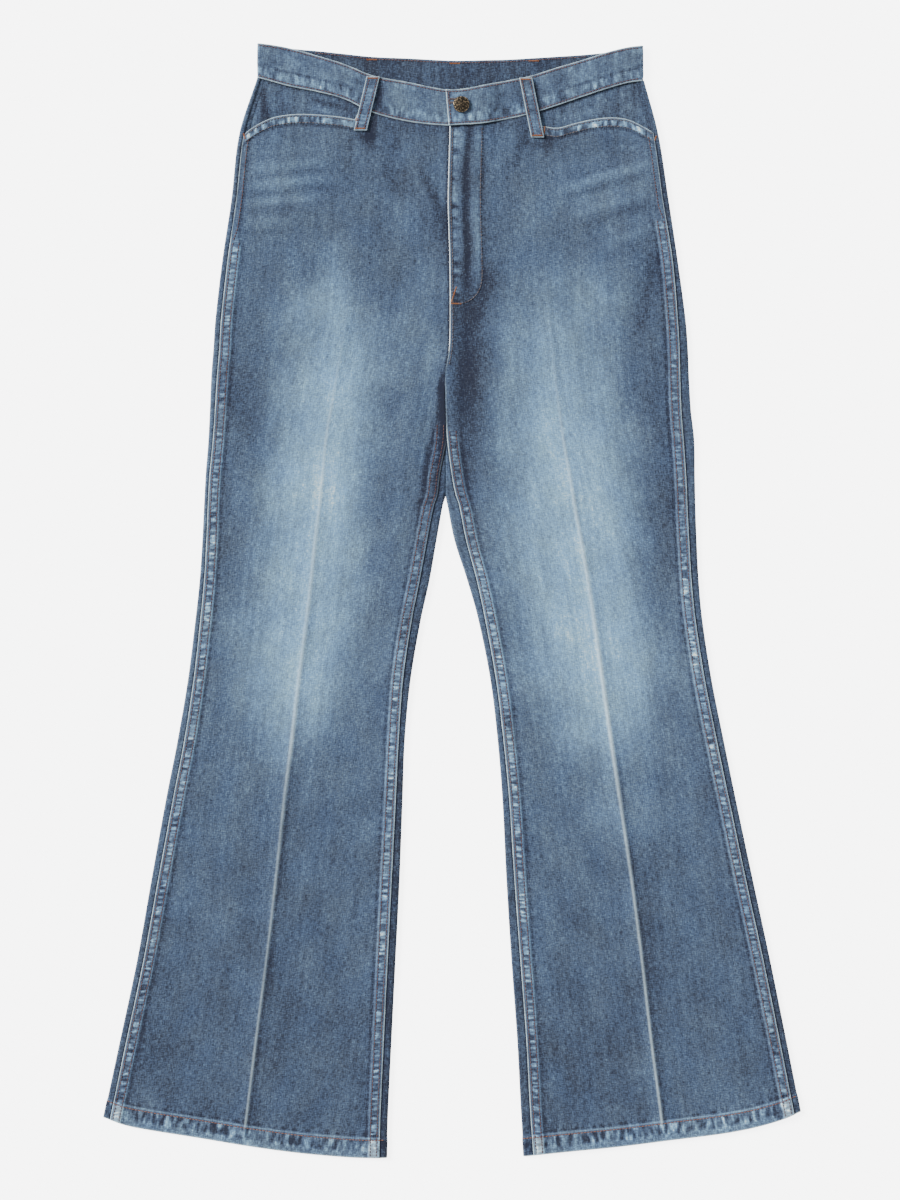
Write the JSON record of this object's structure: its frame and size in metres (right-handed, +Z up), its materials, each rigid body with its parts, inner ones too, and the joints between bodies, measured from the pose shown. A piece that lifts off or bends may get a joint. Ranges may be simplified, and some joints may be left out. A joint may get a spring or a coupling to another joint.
{
  "type": "flared jeans",
  "caption": "Pair of high-waisted flared denim jeans laid flat, front side up, with pressed leg creases, scoop front pockets, belt loops and a button waistband.",
  "frame": {"origin": "centre of the garment's box on the surface it lies on, between the two legs just below the crotch", "axes": "+Y towards the waist, +X to the wearer's left, +Z up out of the surface, through the front of the jeans"},
  "size_m": [0.6973, 1.1142, 0.0121],
  "materials": {
    "denim_front": "washed indigo twill, matte, paler at the thighs and creases",
    "denim_back": "washed indigo twill, matte, a little darker",
    "denim_waistband": "washed indigo twill, doubled and topstitched, worn pale at its edges",
    "denim_facing": "less washed indigo twill, matte",
    "denim_loop": "folded indigo twill strip with worn edges",
    "button_metal": "aged nickel and brass, satin"
  },
  "bodies": {
    "root": {"front_panel_right": "denim_front", "front_panel_left": "denim_front", "back_panel_right": "denim_back", "back_panel_left": "denim_back", "pocket_facing_right": "denim_facing", "pocket_facing_left": "denim_facing", "waistband": "denim_waistband", "belt_loop_front_right": "denim_loop", "belt_loop_front_left": "denim_loop", "belt_loop_back_right": "denim_loop", "belt_loop_back_centre": "denim_loop", "belt_loop_back_left": "denim_loop", "waist_button": "button_metal"}
  },
  "joints": []
}
